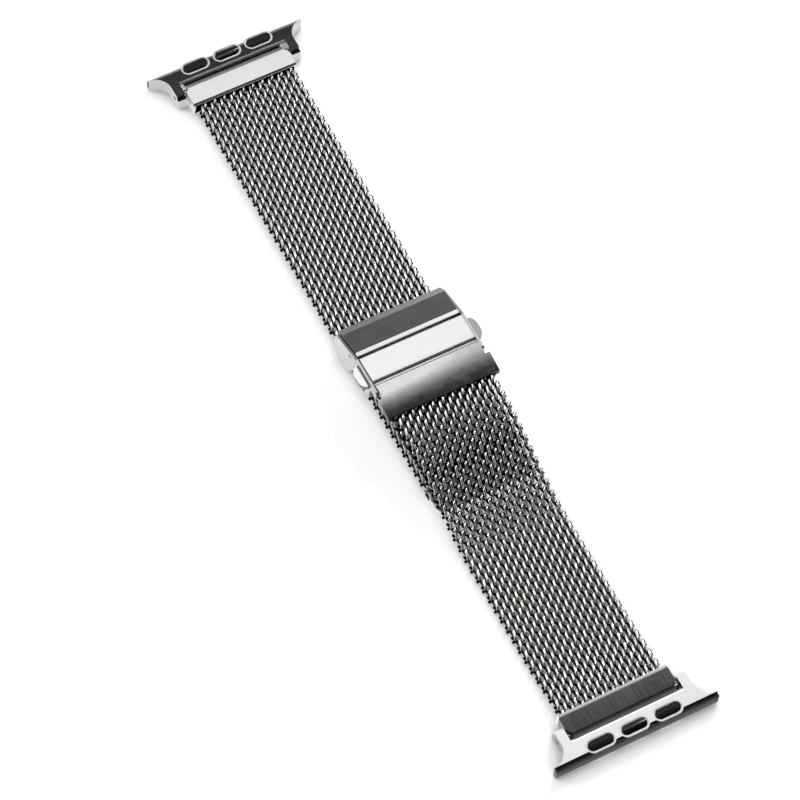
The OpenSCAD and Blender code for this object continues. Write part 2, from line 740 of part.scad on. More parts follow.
module adapter_shape() {
    nose = 1.2;                          // depth of the rounded outer face
    chamfer_w = 0.5;
    step_l = 0.6;
    step_t = 0.8;
    rn = (run_z * run_z + nose * nose) / (2 * nose);
    half = asin(run_z / rn);
    profile = concat(
        [[-arm_len - 1, 0], [lug_d - nose, 0]],
        [for (i = [1:11]) let (a = -half + half * i / 6) [lug_d - rn + rn * cos(a), run_z + rn * sin(a)]],
        [[lug_d - nose, lug_t], [-arm_len - 1, lug_t]]
    );
    color(STEEL) difference() {
        union() {
            intersection() {
                linear_extrude(lug_t) lug_plan();
                side_prism(profile, -lug_w, lug_w);
            }
            // bosses that carry the slots out over the rounded face
            for (i = [-1, 0, 1]) translate([i * slot_pitch, slot_y, lug_t / 2]) linear_extrude(lug_t / 2)
                slot_shape(slot_l + 2 * boss_w, slot_w + 2 * boss_w);
        }
        // chamfer along the pocket and steps on the arm ends
        translate([-pocket_w / 2, 0, lug_t]) rotate([45, 0, 0]) cube([pocket_w, chamfer_w, chamfer_w]);
        both_sides() translate([pocket_w / 2 - 0.1, -arm_len - 0.1, lug_t - step_t])
            cube([arm_t + 0.2, step_l + 0.1, step_t + 0.2]);
        // slots with their rims
        for (i = [-1, 0, 1]) translate([i * slot_pitch, slot_y, 0]) {
            translate([0, 0, lug_t - rim_t]) linear_extrude(1)
                slot_shape(slot_l + 2 * rim_w, slot_w + 2 * rim_w);
            if (i != 0) translate([0, 0, lug_t - pad_deep]) linear_extrude(2) slot_shape(slot_l, slot_w);
        }
        // latch bore, its flange cavity and the seat of its plate
        translate([0, slot_y, -1]) linear_extrude(lug_t + 2) slot_shape(slot_l, slot_w);
        translate([-flange_l / 2 - 0.1, slot_y - flange_w / 2 - 0.1, -eps])
            cube([flange_l + 0.2, flange_w + 0.2, latch_low + flange_t + 0.1 + eps]);
        translate([0, slot_y, -eps]) linear_extrude(latch_plate_t + eps) slot_shape(plate_l, slot_w);
        // holes for the spring bar
        cross_bar([-cap_gap - cap_t / 2, run_z], tip_r + run, -lug_w, lug_w);
    }
}

// Rounded top that the pads and the latch are cut to
module crown() {
    top = lug_t + pad_proud;
    cross_bar([0, top - crown_r], crown_r, -slot_l, slot_l);
    translate([-slot_l, -slot_w, 0]) cube([2 * slot_l, 2 * slot_w, top - 0.45]);
}

module pads_shape() {
    color(RUBBER) for (i = [-1, 1]) translate([i * slot_pitch, slot_y, 0]) intersection() {
        translate([0, 0, lug_t - pad_deep]) linear_extrude(lug_t)
            slot_shape(slot_l - 2 * seat, slot_w - 2 * seat);
        crown();
    }
}

module latch_shape() {
    color(BRIGHT) translate([0, slot_y, 0]) difference() {
        union() {
            intersection() {
                translate([0, 0, latch_low]) linear_extrude(lug_t) slot_shape(slot_l - play, slot_w - play);
                crown();
            }
            translate([-flange_l / 2, -flange_w / 2, latch_low]) cube([flange_l, flange_w, flange_t]);
        }
        translate([0, 0, latch_low - 1])
            cylinder(h = 1 + lug_t - latch_skin - latch_low, r = spring_r + 0.07);
    }
}

module latch_spring_shape() {
    color(STEEL) translate([0, slot_y, 0]) coil_spring(spring_r, latch_plate_t, lug_t - latch_skin);
}

module latch_plate_shape() {
    color(STEEL) translate([0, slot_y, 0]) linear_extrude(latch_plate_t)
        slot_shape(plate_l - 2 * seat, slot_w - 2 * seat);
}

// Places of the two ends

module at_upper(y) {
    translate([0, y, 0]) children();
}

module at_lower(y) {
    translate([0, y, 0]) rotate([0, 0, 180]) children();
}

module centred() {
    translate([0, -mid_y, 0]) children();
}

bar_in = cap_len - cap_t / 2;

centred() lock_box();
centred() button_frame();
centred() frame_rivets();
centred() flap_pin();
centred() arm_pin();
centred() lock_flap();
centred() button_left();
centred() button_right();
centred() button_spring_left();
centred() button_spring_right();
centred() folding_arm();
centred() cover_pin();
centred() cover_plate();
centred() end_cover();
centred() strap_anchor();
centred() slider_mesh();
centred() strap_tip();
centred() upper_mesh_a();
centred() upper_mesh_b();
centred() upper_mesh_end();
centred() lower_mesh_root();
centred() lower_mesh_a();
centred() lower_mesh_b();
centred() lower_mesh_c();
centred() lower_mesh_end();
centred() at_upper(upper_mouth) end_cap_shape();  // upper_end_cap
centred() at_upper(upper_mouth + bar_in) bar_tube_shape();  // upper_bar_tube
centred() at_upper(upper_mouth + bar_in) bar_tips_shape();  // upper_bar_tips
centred() at_upper(upper_mouth + bar_in) bar_spring_shape();  // upper_bar_spring
centred() at_upper(upper_pocket) adapter_shape();  // upper_adapter
centred() at_upper(upper_pocket) pads_shape();  // upper_pads
centred() at_upper(upper_pocket) latch_shape();  // upper_latch
centred() at_upper(upper_pocket) latch_spring_shape();  // upper_latch_spring
centred() at_upper(upper_pocket) latch_plate_shape();  // upper_latch_plate
centred() at_lower(lower_mouth) end_cap_shape();  // lower_end_cap
centred() at_lower(lower_mouth - bar_in) bar_tube_shape();  // lower_bar_tube
centred() at_lower(lower_mouth - bar_in) bar_tips_shape();  // lower_bar_tips
centred() at_lower(lower_mouth - bar_in) bar_spring_shape();  // lower_bar_spring
centred() at_lower(lower_pocket) adapter_shape();  // lower_adapter
centred() at_lower(lower_pocket) pads_shape();  // lower_pads
centred() at_lower(lower_pocket) latch_shape();  // lower_latch
centred() at_lower(lower_pocket) latch_spring_shape();  // lower_latch_spring
centred() at_lower(lower_pocket) latch_plate_shape();  // lower_latch_plate
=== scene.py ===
"""A woven steel wrist band with a folding clasp and two end adapters, face up on a pale floor."""

import json
import math

import bmesh
import bpy
from mathutils import Matrix, Vector

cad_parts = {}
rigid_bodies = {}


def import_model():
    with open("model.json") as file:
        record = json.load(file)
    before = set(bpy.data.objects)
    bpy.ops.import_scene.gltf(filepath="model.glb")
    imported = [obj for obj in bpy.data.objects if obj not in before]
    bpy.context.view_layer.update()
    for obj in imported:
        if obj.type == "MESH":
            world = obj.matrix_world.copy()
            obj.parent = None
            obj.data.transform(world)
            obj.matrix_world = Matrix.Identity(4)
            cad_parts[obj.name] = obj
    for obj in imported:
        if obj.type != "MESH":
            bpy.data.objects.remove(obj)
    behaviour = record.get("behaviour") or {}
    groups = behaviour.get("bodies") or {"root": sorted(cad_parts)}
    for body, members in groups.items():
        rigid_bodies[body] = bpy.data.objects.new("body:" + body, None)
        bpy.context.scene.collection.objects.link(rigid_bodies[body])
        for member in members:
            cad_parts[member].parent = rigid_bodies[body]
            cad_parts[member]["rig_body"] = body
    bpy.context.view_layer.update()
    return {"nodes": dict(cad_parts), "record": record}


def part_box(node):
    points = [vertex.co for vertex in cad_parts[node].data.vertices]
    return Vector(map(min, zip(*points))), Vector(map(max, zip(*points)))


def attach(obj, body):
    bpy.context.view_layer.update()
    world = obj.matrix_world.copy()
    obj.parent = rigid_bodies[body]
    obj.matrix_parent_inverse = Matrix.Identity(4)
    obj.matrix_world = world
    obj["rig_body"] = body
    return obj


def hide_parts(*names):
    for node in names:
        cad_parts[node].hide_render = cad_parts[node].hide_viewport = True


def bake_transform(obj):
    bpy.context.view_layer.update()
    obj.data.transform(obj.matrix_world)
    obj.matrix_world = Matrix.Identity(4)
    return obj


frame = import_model()
MM = 0.001
scene = bpy.context.scene
scene.view_settings.view_transform = "Standard"


# Camera and lamps

IMAGE = 800
FOCAL = 3840.78  # in pixels of that image
EYE = Vector((-186.418, -307.120, 615.614)) * MM
RIGHT = Vector((0.885008, -0.464598, 0.030163))
UP = Vector((0.389457, 0.774259, 0.498846))


def make_camera():
    """The view of the photo, solved from the band's straight edges."""
    data = bpy.data.cameras.new("view")
    data.sensor_width = 36
    data.lens = FOCAL / IMAGE * data.sensor_width
    data.clip_start = 0.05
    cam = bpy.data.objects.new("view", data)
    scene.collection.objects.link(cam)
    turn = Matrix((RIGHT, UP, RIGHT.cross(UP))).transposed().to_4x4()
    cam.matrix_world = Matrix.Translation(EYE) @ turn
    scene.camera = cam


def soft_box(name, place, target, size, watts):
    """A rectangular lamp that faces a target."""
    data = bpy.data.lights.new(name, "AREA")
    data.shape = "RECTANGLE"
    data.size, data.size_y = size
    data.energy = watts
    lamp = bpy.data.objects.new(name, data)
    scene.collection.objects.link(lamp)
    aim = (Vector(target) - Vector(place)).normalized()
    turn = aim.to_track_quat("-Z", "Y").to_matrix().to_4x4()
    lamp.matrix_world = Matrix.Translation(place) @ turn


# Nodes as expressions


class Socket:
    """An output of a node, with arithmetic that adds Math nodes."""

    def __init__(self, tree, out):
        self.tree = tree
        self.out = out

    def __add__(self, other):
        return self.tree.math("ADD", self, other)

    def __sub__(self, other):
        return self.tree.math("SUBTRACT", self, other)

    def __mul__(self, other):
        return self.tree.math("MULTIPLY", self, other)

    def __truediv__(self, other):
        return self.tree.math("DIVIDE", self, other)

    def __rsub__(self, other):
        return self.tree.math("SUBTRACT", other, self)

    __radd__ = __add__
    __rmul__ = __mul__


class Tree:
    """A node tree to which nodes are added with their settings and inputs."""

    def __init__(self, nodes):
        self.nodes = nodes.nodes
        self.links = nodes.links

    def feed(self, socket, value):
        """Links an output to a socket, or sets the socket to a plain value."""
        if isinstance(value, Socket):
            self.links.new(value.out, socket)
        else:
            socket.default_value = value

    def add(self, kind, settings=None, values=None, out=0):
        """A node of a kind with its settings and its sockets' values, as one of its outputs."""
        node = self.nodes.new(kind)
        for key, value in (settings or {}).items():
            if key == "stops":
                ramp = node.color_ramp.elements
                while len(ramp) < len(value):
                    ramp.new(1)
                for stop, (at, shade) in zip(ramp, value):
                    stop.position = at
                    stop.color = (shade, shade, shade, 1)
            else:
                setattr(node, key, value)
        for key, value in (values or {}).items():
            self.feed(node.inputs[key], value)
        return Socket(self, node.outputs[out])

    def math(self, operation, *terms):
        return self.add("ShaderNodeMath", {"operation": operation}, dict(enumerate(terms)))

    def ramp(self, fac, *stops):
        """A grey that goes through stops, each a place and a tone."""
        return self.add("ShaderNodeValToRGB", {"stops": stops}, {"Fac": fac})

    def noise(self, at, scale, detail=2.0, rough=0.5):
        values = {"Vector": at, "Scale": scale, "Detail": detail, "Roughness": rough}
        return self.add("ShaderNodeTexNoise", {}, values)

    def place(self, stretch=(1, 1, 1)):
        """Object coordinates in millimetres, drawn out along an axis where its factor is small."""
        at = self.add("ShaderNodeTexCoord", out=3)
        return self.add("ShaderNodeMapping", {}, {"Vector": at, "Scale": [s / MM for s in stretch]})

    def split(self, vector, axis):
        """One of a vector's three numbers."""
        return self.add("ShaderNodeSeparateXYZ", {}, {0: vector}, out=axis)

    def across(self, value, start, end):
        """Rises softly from 0 to 1 between two values."""
        settings = {"interpolation_type": "SMOOTHSTEP"}
        values = {"Value": value, "From Min": start, "From Max": end}
        return self.add("ShaderNodeMapRange", settings, values)

    def lean(self):
        """How far a face looks up or down: 1 when level, 0 when upright."""
        return self.math("ABSOLUTE", self.split(self.add("ShaderNodeNewGeometry", out=1), 2))

    def bump(self, height, strength, distance):
        """A normal from a height, with the distance in millimetres."""
        values = {"Height": height, "Strength": strength, "Distance": distance * MM}
        return self.add("ShaderNodeBump", {}, values)

    def blend(self, fac, a, b):
        """A colour between two colours."""
        return self.add("ShaderNodeMix", {"data_type": "RGBA"}, {0: fac, 6: a, 7: b}, out=2)


def material(name, **constants):
    """A material with the constant inputs of its shader set, its tree and the shader."""
    mat = bpy.data.materials.new(name)
    mat.use_nodes = True
    tree = Tree(mat.node_tree)
    shader = mat.node_tree.nodes["Principled BSDF"]
    for key, value in constants.items():
        shader.inputs[key.replace("_", " ")].default_value = value
    return mat, tree, shader


def grey(v, warm=0.0):
    """A grey that leans to yellow by a share."""
    return (v * (1 + warm), v, v * (1 - warm), 1)


# Finishes and their painted light and shade, with places in millimetres of the frame. A pair of
# places says where a mark begins and where it is whole

WARM = 0.01  # how far steel leans from grey to yellow
# the tone of the painted highlights on the adapters and the lower cap
HIGHLIGHT = 0.95
# where the end cover's painted shade sets in, up the band and across it
COVER_UP, COVER_ACROSS = (-9.5, -2.2), (-12, 12)  # over the end cover's brushed face
# where the painted shade towards the cover plate's lower edge ends
PLATE_UP = (-3.6, 0.5)
# where the painted highlight on the flap's front lip begins
FLAP_LIP = (6.08, 6.0)
# where the lower cap's painted highlights lie
CAP_MESH, CAP_BAR = (-73.1, -72.9), (-76.7, -77.1)  # the lower cap's sides at the mesh and at the bar
# an adapter's places are taken outwards from the floor of its pocket, its rims from the line of a slot
ADAPTER_Y, ADAPTER_T = 77.986, 3.4
SLOT_PITCH, SLOT_OUT = 6.8, 2.5
SLOT_STRAIGHT = 1.5  # half the straight part of a slot
# places of an adapter's painted highlights, and where its outer face with its painted shading begins
RIM_INSIDE, RIM_OUTSIDE, PAST_RIM = (1.0, 1.06), (1.5, 1.38), (1.4, 1.5)
BROW_OUT, BROW_HALF = (0.42, 0.36), (11.5, 11.3)
TOP_HIGHLIGHT, NOSE = (2.75, 2.85), (3.2, 3.3)


def brushed(name, dark, light, rough, along="X", depth=0.35, camber=0.0, painted_light=None):
    """Steel with fine lines drawn along one axis and soft blotches where it has been handled.

    A camber leans the surface a little towards the clasp's lower side, by its rise per millimetre.
    A painted_light takes the tree and the plain colour, and returns it with painted light and shade.
    """
    mat, t, shader = material(name, Metallic=1.0)
    stretch = {"X": (0.12, 6.0, 6.0), "Y": (6.0, 0.12, 6.0)}[along]
    lines = t.noise(t.place(stretch), 1.6, 3.0, 0.6)
    fine = t.noise(t.place([s * 2.6 for s in stretch]), 1.9, 2.0, 0.5)
    cloud = t.noise(t.place((0.22, 0.22, 0.22)), 1.0, 2.0)
    mix = lines * 0.6 + fine * 0.4
    tone = t.ramp(mix * 0.8 + cloud * 0.2, (0.3, 0.0), (0.7, 1.0))
    colour = t.blend(tone, grey(dark, WARM), grey(light, WARM))
    # the piece's painted light and shade, where it has them
    t.feed(shader.inputs["Base Color"], painted_light(t, colour) if painted_light else colour)
    t.feed(shader.inputs["Roughness"], rough - 0.06 + mix * 0.12)
    height = mix * (depth * 0.006)
    if camber:
        height = height + t.split(t.place(), 1) * camber
    t.feed(shader.inputs["Normal"], t.bump(height, 1.0, 1.0))
    return mat


def polished(name, tone, rough):
    """Polished steel with hairline marks and a little haze."""
    mat, t, shader = material(name, Metallic=1.0)
    haze = t.noise(t.place((0.5, 0.5, 0.5)), 1.0, 3.0)
    marks = t.noise(t.place((0.4, 7.0, 7.0)), 1.2, 2.0, 0.7)
    t.feed(shader.inputs["Base Color"], t.blend(haze, grey(tone * 0.94, WARM), grey(tone, WARM)))
    t.feed(shader.inputs["Roughness"], rough * 0.8 + haze * rough * 0.4)
    t.feed(shader.inputs["Normal"], t.bump(marks, 0.05, 0.004))
    return mat


def cover_painted_shade(t, colour):
    """Painted shade, dark towards the mesh and to the right, with blotches."""
    at = t.place()
    up = t.across(t.split(at, 1), *COVER_UP)
    right = t.across(t.split(at, 0), *COVER_ACROSS)
    cloud = t.noise(t.place((0.5, 0.9, 0.5)), 1.0, 4.0, 0.65)
    # painted reflection, falling into painted shade towards the mesh and the right, with random blotches
    painted_reflection = up * up * (1.5 - right * 0.8) + (cloud - 0.5) * 0.35
    return t.blend(t.math("MAXIMUM", painted_reflection, 0.0), grey(0.06), colour)


def flap_highlights(t, colour):
    """Painted highlights along the front lip and, fainter, on the broken edges of the dark plate."""
    lip = t.across(t.split(t.place(), 1), *FLAP_LIP)
    level = t.lean()
    # painted highlight on the broken edges, between level and upright faces
    edge = t.across(level, 0.985, 0.93) * t.across(level, 0.3, 0.5)
    return t.blend(t.math("MAXIMUM", lip, edge * 0.1), colour, grey(0.9))


def lower_cap_highlights(t, colour):
    """Painted highlights, bright along the mesh and nearly as bright along the bar."""
    y = t.split(t.place(), 1)
    mesh = t.across(y, *CAP_MESH)
    bar = t.across(y, *CAP_BAR) * 0.9
    return t.blend(t.math("MAXIMUM", mesh, bar), colour, grey(HIGHLIGHT))


def plate_painted_shade(t, colour):
    """Painted shade, a little darker towards the lower edge."""
    up = t.across(t.split(t.place(), 1), *PLATE_UP)
    return t.blend(up * 0.6 + 0.4, grey(0.3), colour)


def adapter(name, way, top, side, strip_highlight, outer):
    """Polished steel with painted highlights on the rims round the slots.

    The way is 1 for the end on the far side and -1 for the near one. The top and the sides have one
    tone each, which carries painted light and shade, and the outer face its own painted shading, from
    its foot up. The strip_highlight is how much of the top's outer edge has a painted highlight.
    """
    mat, t, shader = material(name, Metallic=1.0)
    at = t.place()
    out = t.split(at, 1) * way - ADAPTER_Y
    x = t.math("ABSOLUTE", t.split(at, 0))
    near = t.math("MINIMUM", x, t.math("ABSOLUTE", x - SLOT_PITCH))
    end = t.math("MAXIMUM", near - SLOT_STRAIGHT, 0.0)
    off = out - SLOT_OUT
    from_slot = t.math("SQRT", end * end + off * off)
    level = t.lean()
    haze = t.noise(t.place((0.5, 0.5, 0.5)), 1.0, 3.0)
    # painted highlights on the rims round the slots
    rim_highlight = t.across(from_slot, *RIM_OUTSIDE) * t.across(from_slot, *RIM_INSIDE)
    past_rim = t.across(from_slot, *PAST_RIM)
    # a painted highlight on the chamfer along the pocket's floor edge
    brow_highlight = t.across(out, *BROW_OUT) * t.across(x, *BROW_HALF)
    # a painted highlight along the top's outer edge, past the slots
    line = t.across(out, *TOP_HIGHLIGHT) * past_rim * strip_highlight
    light = t.math("MAXIMUM", t.math("MAXIMUM", rim_highlight, brow_highlight), line)
    # the top's tone with the painted highlights, then the sides' tone; both tones carry painted light
    # and shade
    body = t.blend(light, grey(top), grey(HIGHLIGHT))
    body = t.blend(t.across(level, 0.25, 0.6), grey(side, 0.02), body)
    # painted light and shade up the outer face, from its foot
    face = t.ramp(t.split(at, 2) / ADAPTER_T, *outer)
    nose = t.across(out, *NOSE) * past_rim
    t.feed(shader.inputs["Base Color"], t.blend(nose, body, face))
    t.feed(shader.inputs["Roughness"], 0.1 + haze * 0.06 + nose * 0.12 + rim_highlight * 0.25)
    t.feed(shader.inputs["Normal"], t.bump(haze, 0.05, 0.004))
    return mat


def button_painted_shade(name, top, edge):
    """A polished button whose upright sides are darkened by painted shade."""
    mat, t, shader = material(name, Metallic=1.0)
    level = t.lean()
    haze = t.noise(t.place((0.6, 0.6, 0.6)), 1.0, 3.0)
    colour = t.blend(t.across(level, 0.3, 0.9), grey(edge), grey(top))
    t.feed(shader.inputs["Base Color"], colour)
    t.feed(shader.inputs["Roughness"], 0.14 + haze * 0.08)
    return mat


def wire(name, tone, rough, warm):
    """Drawn wire: bright where it is rolled flat, rougher in the depth of the weave, and darkened there
    and on its sides by painted shade.
    """
    mat, t, shader = material(name, Metallic=1.0, Specular_Tint=grey(0.2))
    patch = t.noise(t.place((0.12, 0.12, 0.12)), 1.0, 2.0)
    marks = t.noise(t.place((2.0, 5.0, 5.0)), 1.4, 3.0, 0.6)
    height = t.add("ShaderNodeAttribute", {"attribute_name": "height"}, out=2)
    upward = t.add("ShaderNodeAttribute", {"attribute_name": "upward"}, out=2)
    # painted shade: near black low in the weave and where the wire faces sideways
    unshaded = t.ramp(height, (0.45, 0.0), (0.75, 1.0)) * t.ramp(upward, (0.2, 0.0), (0.78, 1.0))
    bright = t.blend(patch, grey(tone * 0.92), grey(tone, warm))
    t.feed(shader.inputs["Base Color"], t.blend(unshaded, grey(0.01), bright))
    t.feed(shader.inputs["Roughness"], rough + marks * 0.1 - height * 0.15)
    t.feed(shader.inputs["Normal"], t.bump(marks, 0.1, 0.004))
    return mat


def rubber(name):
    """Moulded black rubber with a fine matt grain."""
    mat, t, shader = material(name, Specular_IOR_Level=0.25)
    grain = t.noise(t.place((3, 3, 3)), 2.0, 3.0)
    t.feed(shader.inputs["Base Color"], t.blend(grain, grey(0.008), grey(0.02)))
    t.feed(shader.inputs["Roughness"], 0.3 + grain * 0.14)
    t.feed(shader.inputs["Normal"], t.bump(grain, 0.12, 0.02))
    return mat


# Weave: each row of the mesh is one flattened coil, screwed through its neighbours. The sizes are in
# millimetres, and the path's sizes have the same names as in the source of the solids

STRAP_T = 1.8
ROW_PITCH = 1.13
WIRE_R = 0.29
FLAT = 0.05  # how much of a link's outside is rolled off
TURN_PITCH = 2.05
COIL_HALF = 0.98  # half the coil's reach along the band, to the wire's centre
TURNS = 10.1
FIRST_TURN = -0.75
FIRST_PLACE = -4.25  # where turn 0 lies, in turns from the middle: this sets alternate rows apart
STEPS = 18  # points on a turn
SIDES = 10
UPPER_ROWS, LOWER_ROWS = 86, 63
TAIL_END, TIP_LEN = -25.5, 6.0
RUN_Z, REST_Z, EXIT_Z = 1.7, 0.95, 8.0
END_LEN, CAP_GRIP, DROP_LEN, RISE_LEN = 6.9, 2.2, 30.5, 9.0
FLAT_IN = END_LEN - 1.5  # straight stretch held in the clasp
LOWER_LEN = (LOWER_ROWS - 1) * ROW_PITCH
RISE_START = LOWER_LEN - CAP_GRIP - 1 - RISE_LEN
LOWER_START = -2.6
UPPER_START = TAIL_END + TIP_LEN - 1
UPPER_BENDS = (34, 50, 66)  # rows at which the stiff lengths meet
LOWER_BENDS = (5, 24, 37, 50)
BEND_REACH, SHORT_REACH = 5, 2  # rows on each side of a bend that share it, and beside the lock box


def smooth(t):
    """Rises softly from 0 to 1."""
    u = min(max(t, 0), 1)
    return u * u * (3 - 2 * u)


def lower_z(s):
    """Height of the lower half at a length along it: down from the cover, and up a little to its cap."""
    drop = (REST_Z - EXIT_Z) * smooth((s - FLAT_IN) / DROP_LEN)
    rise = (RUN_Z - REST_Z) * smooth((s - RISE_START) / RISE_LEN)
    return EXIT_Z + drop + rise


def lower_path():
    """Place and tilt of each row of the lower half."""
    y, rows = LOWER_START, []
    for i in range(LOWER_ROWS):
        z = lower_z(i * ROW_PITCH)
        dz = lower_z((i + 1) * ROW_PITCH) - z
        dy = math.sqrt(ROW_PITCH**2 - dz * dz)
        rows.append((y, z, math.atan2(-dz, dy)))
        y -= dy
    return rows


upper_rows = [(UPPER_START + i * ROW_PITCH, RUN_Z, 0.0) for i in range(UPPER_ROWS)]
lower_rows = lower_path()
# the frame's origin is at the band's middle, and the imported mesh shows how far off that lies
MID_Y = upper_rows[0][0] - STRAP_T / 2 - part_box("slider_mesh")[0].y / MM


def coil_tree():
    """Rows of one flattened coil each, set on points that carry each row's turn."""
    nodes = bpy.data.node_groups.new("coil_rows", "GeometryNodeTree")
    face = nodes.interface
    face.new_socket("Geometry", in_out="OUTPUT", socket_type="NodeSocketGeometry")
    lengths = ("Wire radius", "Turn pitch", "Half length", "Half thickness", "Flat", "First place")
    kinds = {"Geometry": "NodeSocketGeometry", "Material": "NodeSocketMaterial"}
    kinds.update((name, "NodeSocketFloat") for name in (*lengths, "First turn"))
    kinds.update((name, "NodeSocketInt") for name in ("Points on a turn", "Points in all", "Sides"))
    for name, kind in kinds.items():
        face.new_socket(name, in_out="INPUT", socket_type=kind)
    t = Tree(nodes)
    start = nodes.nodes.new("NodeGroupInput")
    given = {name: Socket(t, start.outputs[name]) for name in kinds}
    index = t.add("GeometryNodeInputIndex")
    turns = given["First turn"] + index / given["Points on a turn"]
    angle = turns * (2 * math.pi)
    length_power, height_power, bend_lean = 0.82, 0.45, 0.04
    level_facing = 0.985  # what faces up or down more than this is shaded flat

    def flattened(wave, power):
        """A sine drawn out towards a square wave."""
        size = t.math("POWER", t.math("ABSOLUTE", wave), power)
        return t.math("SIGN", wave) * size

    def store(shape, name, value):
        """Keeps a value on the shape for its material to read."""
        values = {"Geometry": shape, "Name": name, "Value": value}
        return t.add("GeometryNodeStoreNamedAttribute", {}, values)

    # turn 0 is the middle of a front link, where the wire runs forward
    y = flattened(t.math("SINE", angle), length_power) * given["Half length"]
    z = flattened(t.math("COSINE", angle), height_power) * given["Half thickness"]
    # the bends go further across than the links between them
    lean = t.math("SINE", angle * 2) * given["Turn pitch"] * -bend_lean
    x = given["First place"] + turns * given["Turn pitch"] + lean
    at = t.add("ShaderNodeCombineXYZ", {}, {0: x, 1: y, 2: z})
    line = t.add("GeometryNodeMeshLine", {}, {"Count": given["Points in all"]})
    line = t.add("GeometryNodeSetPosition", {}, {"Geometry": line, "Position": at})
    line = t.add("GeometryNodeMeshToCurve", {}, {"Mesh": line})
    size = {"Resolution": given["Sides"], "Radius": given["Wire radius"]}
    ring = t.add("GeometryNodeCurvePrimitiveCircle", {}, size)
    values = {"Curve": line, "Profile Curve": ring, "Fill Caps": True}
    coil = t.add("GeometryNodeCurveToMesh", {}, values)
    # the outsides of the links are rolled flat
    level = t.split(t.add("GeometryNodeInputPosition"), 2)
    top = given["Half thickness"] + given["Wire radius"] - given["Flat"]
    low = t.math("MULTIPLY", top, -1.0)
    pressed = t.math("MAXIMUM", t.math("MINIMUM", level, top), low)
    shift = t.add("ShaderNodeCombineXYZ", {}, {2: pressed - level})
    coil = t.add("GeometryNodeSetPosition", {}, {"Geometry": coil, "Offset": shift})
    # how deep each point lies, kept for the wire's painted shade
    deep = t.math("ABSOLUTE", pressed) / top
    coil = store(coil, "height", deep)
    coil = t.add("GeometryNodeSetShadeSmooth", {}, {"Geometry": coil})
    # how far each face looks up or down, kept for the wire's painted shade
    facing = t.math("ABSOLUTE", t.split(t.add("GeometryNodeInputNormal"), 2))
    coil = store(coil, "upward", facing)
    flat = t.math("GREATER_THAN", facing, level_facing)
    values = {"Geometry": coil, "Selection": flat, "Shade Smooth": False}
    coil = t.add("GeometryNodeSetShadeSmooth", {}, values)
    turn = t.add("GeometryNodeInputNamedAttribute", {"data_type": "FLOAT_VECTOR"}, {"Name": "turn"})
    values = {"Points": given["Geometry"], "Instance": coil, "Rotation": turn}
    rows = t.add("GeometryNodeInstanceOnPoints", {}, values)
    rows = t.add("GeometryNodeRealizeInstances", {}, {"Geometry": rows})
    rows = t.add("GeometryNodeSetMaterial", {}, {"Geometry": rows, "Material": given["Material"]})
    out = nodes.nodes.new("NodeGroupOutput")
    t.feed(out.inputs[0], rows)
    return nodes


def run_tree(name, nodes, points, inputs):
    """Puts a tree on a mesh of points, sets its inputs, and gives back a plain mesh object."""
    holder = bpy.data.objects.new(name + "_points", points)
    scene.collection.objects.link(holder)
    mod = holder.modifiers.new("rows", "NODES")
    mod.node_group = nodes
    for item in nodes.interface.items_tree:
        if item.item_type == "SOCKET" and item.in_out == "INPUT" and item.name in inputs:
            mod[item.identifier] = inputs[item.name]
    shown = holder.evaluated_get(bpy.context.evaluated_depsgraph_get())
    mesh = bpy.data.meshes.new_from_object(shown)
    bpy.data.objects.remove(holder)
    return new_object(name, mesh)


def new_object(name, mesh):
    mesh.name = name
    piece = bpy.data.objects.new(name, mesh)
    scene.collection.objects.link(piece)
    return piece


coil_rows = coil_tree()


def weave(name, path, first, last, mat):
    """The rows from first to last of a half, as one piece."""
    points = bpy.data.meshes.new(name)
    places = [row_place(path, i) for i in range(first, last + 1)]
    points.from_pydata(places, [], [])
    turns = points.attributes.new("turn", "FLOAT_VECTOR", "POINT")
    for row, i in zip(turns.data, range(first, last + 1)):
        tilt = path[i][2]
        row.vector = (tilt, 0, 0) if i % 2 == 0 else (-tilt, 0, math.pi)
    inputs = {
        "Material": mat,
        "Wire radius": WIRE_R * MM,
        "Turn pitch": TURN_PITCH * MM,
        "Half length": COIL_HALF * MM,
        "Half thickness": (STRAP_T / 2 + FLAT - WIRE_R) * MM,
        "Flat": FLAT * MM,
        "First turn": FIRST_TURN,
        "First place": FIRST_PLACE * TURN_PITCH * MM,
        "Points on a turn": STEPS,
        "Points in all": round(TURNS * STEPS),
        "Sides": SIDES,
    }
    return run_tree(name, coil_rows, points, inputs)


def row_place(path, i):
    """A row's point in the frame."""
    y, z = path[i][:2]
    return (0, (y - MID_Y) * MM, z * MM)


